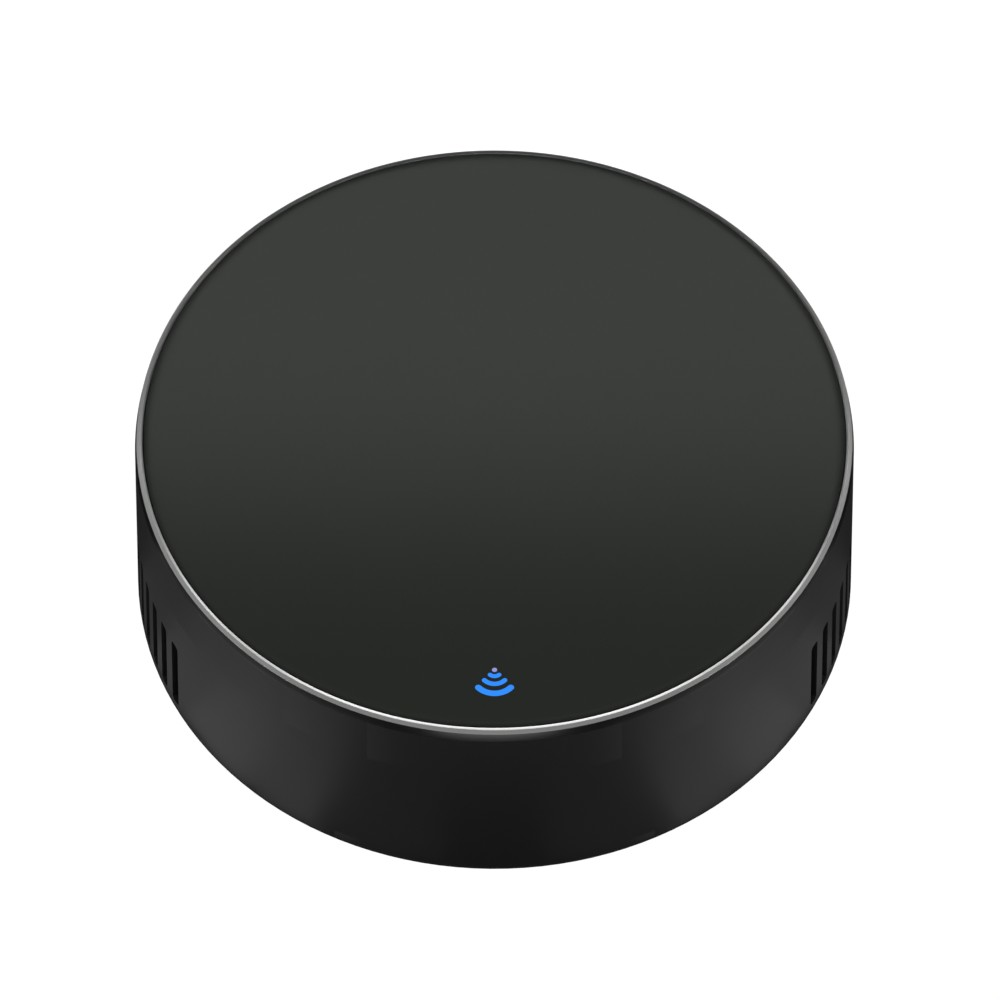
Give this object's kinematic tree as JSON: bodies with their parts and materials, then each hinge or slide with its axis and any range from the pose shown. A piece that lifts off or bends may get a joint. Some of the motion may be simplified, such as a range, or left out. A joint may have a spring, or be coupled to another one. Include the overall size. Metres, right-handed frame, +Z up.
{
  "type": "smart infrared blaster",
  "caption": "Round tabletop infrared blaster: flat dark top with a lit signal icon, bevelled trim ring, slotted side wall, rear micro-USB socket, sprung reset button, rubber foot.",
  "frame": {"origin": "centre of the foot's underside, on the surface that the part stands on", "axes": "+Z up; -Y is the front, where the icon is; +Y is the back, with the socket; +X is to the right seen from the front"},
  "size_m": [0.066, 0.066, 0.0225],
  "materials": {
    "shell_plastic": "fine satin moulded ABS that passes infrared",
    "trim_metal": "dark anodised, with bright cut bevels",
    "plate_plastic": "satin dark polycarbonate that passes infrared",
    "adhesive": "double-sided acrylic foam tape",
    "icon_blue": "clear second-shot plastic, lit blue from behind",
    "foot_rubber": "matt silicone rubber",
    "screw_steel": "zinc-plated steel",
    "socket_steel": "tin-plated sheet",
    "board_laminate": "glass-epoxy board under green solder mask",
    "module_laminate": "glass-epoxy board under dark solder mask",
    "clear_plastic": "clear polycarbonate light guide",
    "inner_black": "black moulded nylon",
    "chip_light": "surface-mount blue light chip",
    "emitter_epoxy": "water-clear epoxy",
    "receiver_epoxy": "dark epoxy that passes infrared",
    "solder": "tinned copper and solder",
    "gold_plate": "gold-plated contacts",
    "chip_epoxy": "moulded epoxy packages",
    "copper": "printed copper trace",
    "can_aluminium": "sleeveless aluminium can",
    "ferrite": "sintered ferrite",
    "ceramic": "layered ceramic"
  },
  "bodies": {
    "casing": {"outer_shell": "shell_plastic", "trim_ring": "trim_metal", "top_plate": "plate_plastic", "plate_tape": "adhesive", "icon_inlay": "icon_blue", "base_cover": "shell_plastic", "foot_ring": "foot_rubber", "cover_screws": "screw_steel", "main_board": "board_laminate", "board_screws": "screw_steel", "light_guide": "clear_plastic", "light_shroud": "inner_black", "status_light": "chip_light", "side_emitter_1": "emitter_epoxy", "side_emitter_2": "emitter_epoxy", "side_emitter_3": "emitter_epoxy", "side_emitter_4": "emitter_epoxy", "side_emitter_5": "emitter_epoxy", "side_emitter_6": "emitter_epoxy", "side_leads_1": "solder", "side_leads_2": "solder", "side_leads_3": "solder", "side_leads_4": "solder", "side_leads_5": "solder", "side_leads_6": "solder", "top_emitter_1": "emitter_epoxy", "top_emitter_2": "emitter_epoxy", "top_leads_1": "solder", "top_leads_2": "solder", "ir_receiver": "receiver_epoxy", "receiver_leads": "solder", "solder_joints": "solder", "socket_shell": "socket_steel", "socket_tongue": "inner_black", "socket_contacts": "gold_plate", "switch_body": "inner_black", "switch_cover": "screw_steel", "switch_pins": "solder", "module_board": "module_laminate", "module_shield": "socket_steel", "module_chip": "chip_epoxy", "module_antenna": "copper", "regulator_body": "chip_epoxy", "regulator_leads": "solder", "capacitor_can": "can_aluminium", "capacitor_base": "inner_black", "power_inductor": "ferrite", "ceramic_capacitors": "ceramic", "chip_resistors": "chip_epoxy", "chip_terminals": "solder", "driver_transistors": "chip_epoxy", "transistor_leads": "solder"},
    "button": {"reset_button": "shell_plastic"},
    "plunger": {"switch_plunger": "inner_black"}
  },
  "joints": [
    {"name": "reset_press", "type": "slide", "parent": "casing", "child": "button", "axis": [0, -1, 0], "range_m": [0, 0.00025], "stiffness_N_per_m": 800, "springref_m": -0.0008},
    {"name": "switch_press", "type": "slide", "parent": "casing", "child": "plunger", "axis": [0, -1, 0], "range_m": [0, 0.00025], "stiffness_N_per_m": 200, "springref_m": -0.0008}
  ],
  "couplings": [
    {"joint": "switch_press", "follows": "reset_press", "ratio": 1}
  ]
}
